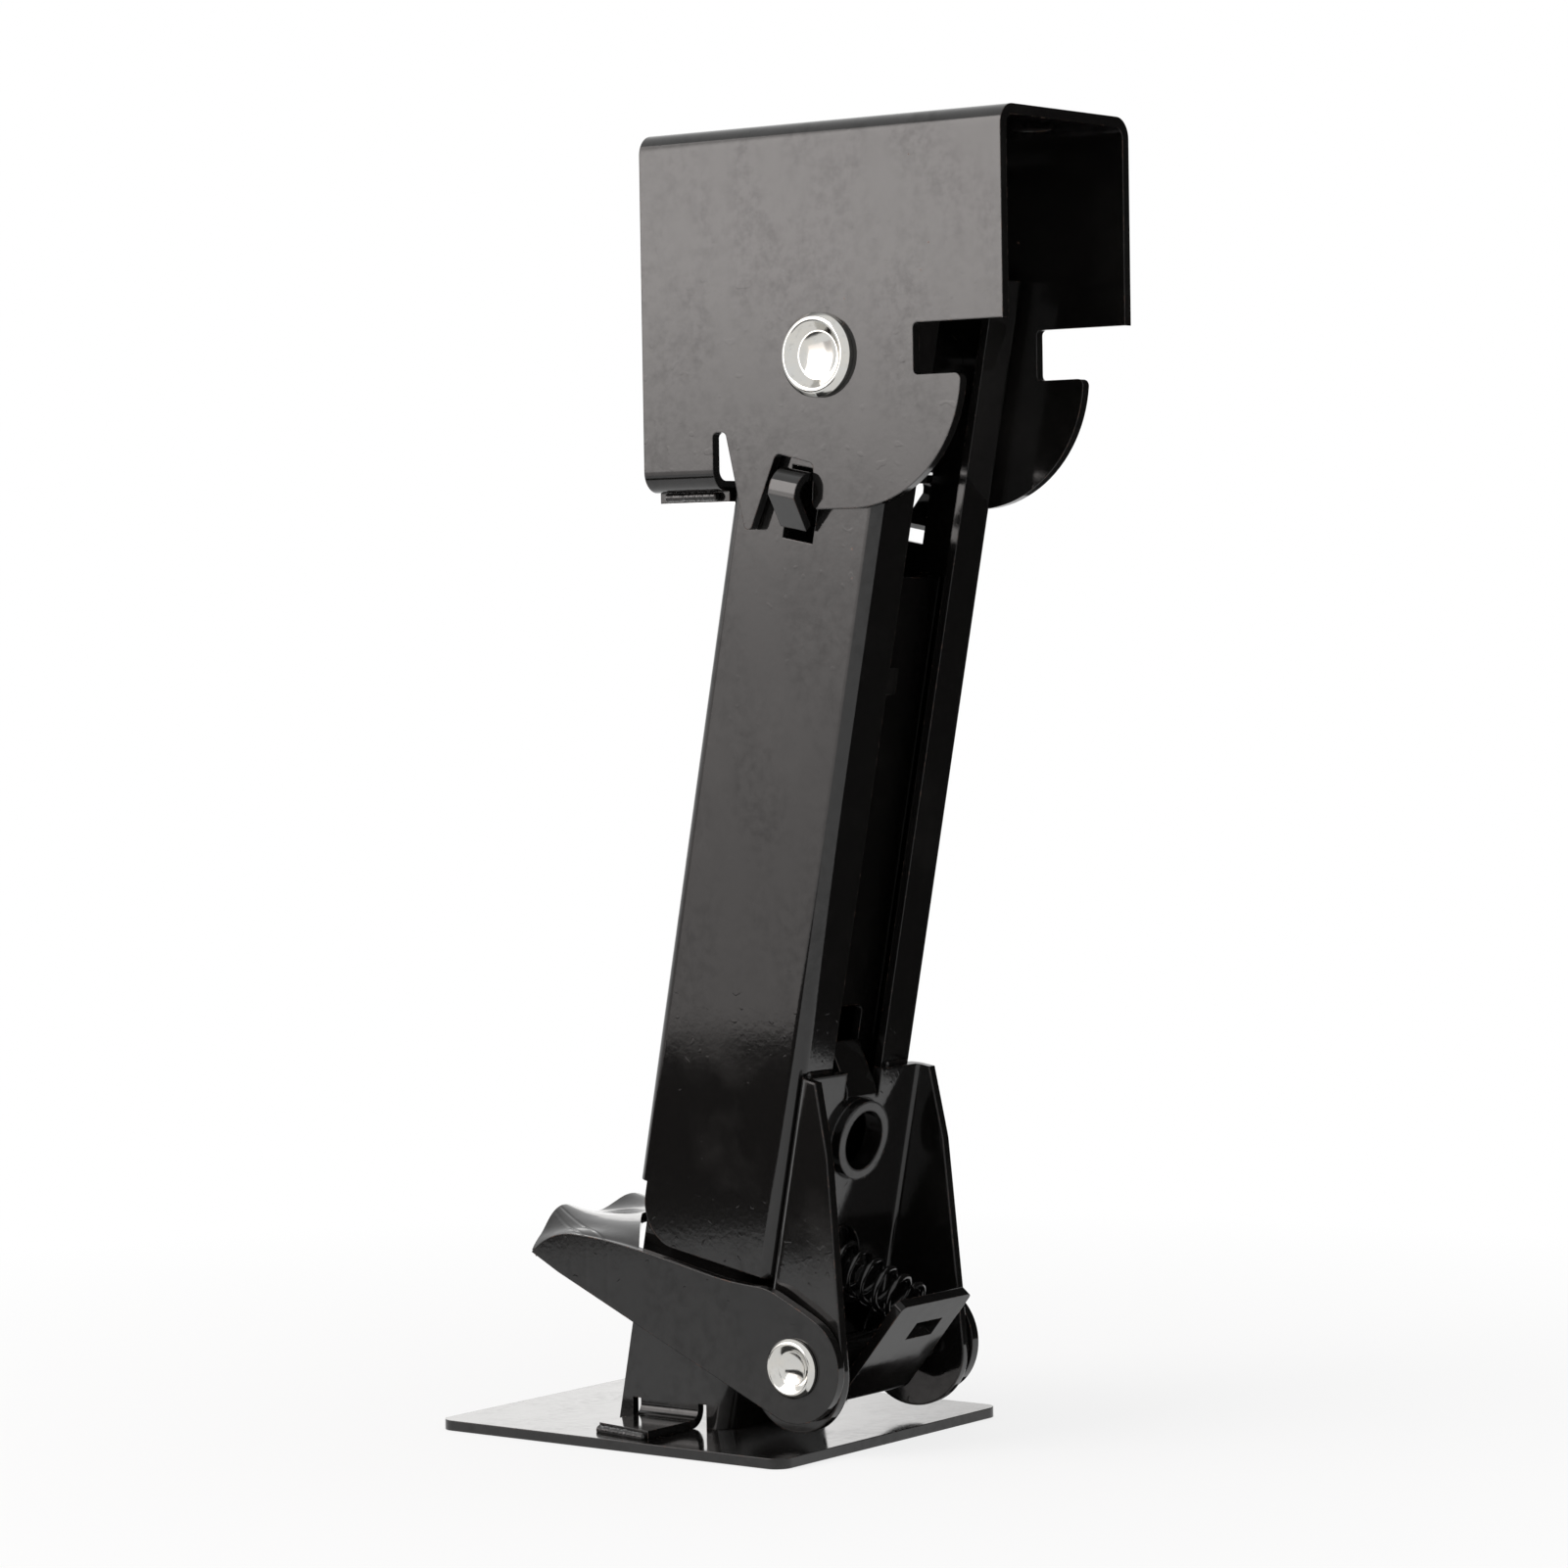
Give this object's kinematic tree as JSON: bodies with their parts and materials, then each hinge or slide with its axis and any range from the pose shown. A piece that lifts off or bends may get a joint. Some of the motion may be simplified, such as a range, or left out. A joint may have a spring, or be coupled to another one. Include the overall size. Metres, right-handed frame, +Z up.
{
  "type": "stabilizer jack",
  "caption": "Drop-leg stabilizer jack: folded steel mounting bracket, swinging and telescoping channel legs, flat foot plate, spring latch and a foot pedal with a ratchet pawl",
  "frame": {"origin": "centre of the foot plate's underside, on the ground", "axes": "+Z up; +X the way the leg folds up, towards the open end of the bracket; +Y across the jack, away from the camera"},
  "size_m": [0.194, 0.108, 0.3795],
  "materials": {
    "black_paint": "gloss black paint with light orange peel",
    "zinc_plate": "bright zinc plate",
    "spring_steel": "oiled spring steel"
  },
  "bodies": {
    "bracket": {"mounting_bracket": "black_paint", "flange_weld": "black_paint", "pivot_rivet": "zinc_plate", "pivot_washers": "zinc_plate"},
    "leg": {"outer_leg": "black_paint", "pivot_spacer": "black_paint", "carrier": "black_paint", "carrier_welds": "black_paint", "pin_rivet": "zinc_plate", "spring_peg": "black_paint", "pawl_spring": "spring_steel", "latch_spring": "spring_steel"},
    "foot": {"inner_leg": "black_paint", "foot_plate": "black_paint", "foot_welds": "black_paint"},
    "pedal": {"pedal": "black_paint", "pawl": "black_paint"},
    "latch": {"latch_strap": "black_paint"}
  },
  "joints": [
    {"name": "leg_swing", "type": "hinge", "parent": "bracket", "child": "leg", "pos_m": [0.067, 0, 0.3132], "axis": [0, -1, 0], "range_deg": [0, 101.1], "deforming": ["latch_strap"]},
    {"name": "leg_slide", "type": "slide", "parent": "leg", "child": "foot", "axis": [-0.1925, 0, -0.9813], "range_m": [0, 0.1]},
    {"name": "pedal_press", "type": "hinge", "parent": "leg", "child": "pedal", "pos_m": [0.05415, 0, 0.02539], "axis": [0, -1, 0], "range_deg": [0, 20], "stiffness_Nm_per_rad": 1.2, "springref_deg": -20.05, "deforming": ["pawl_spring"]},
    {"name": "latch_pull", "type": "slide", "parent": "leg", "child": "latch", "axis": [-0.1925, 0, -0.9813], "range_m": [0, 0.017], "stiffness_N_per_m": 300, "springref_m": -0.01, "deforming": ["latch_spring"]}
  ]
}
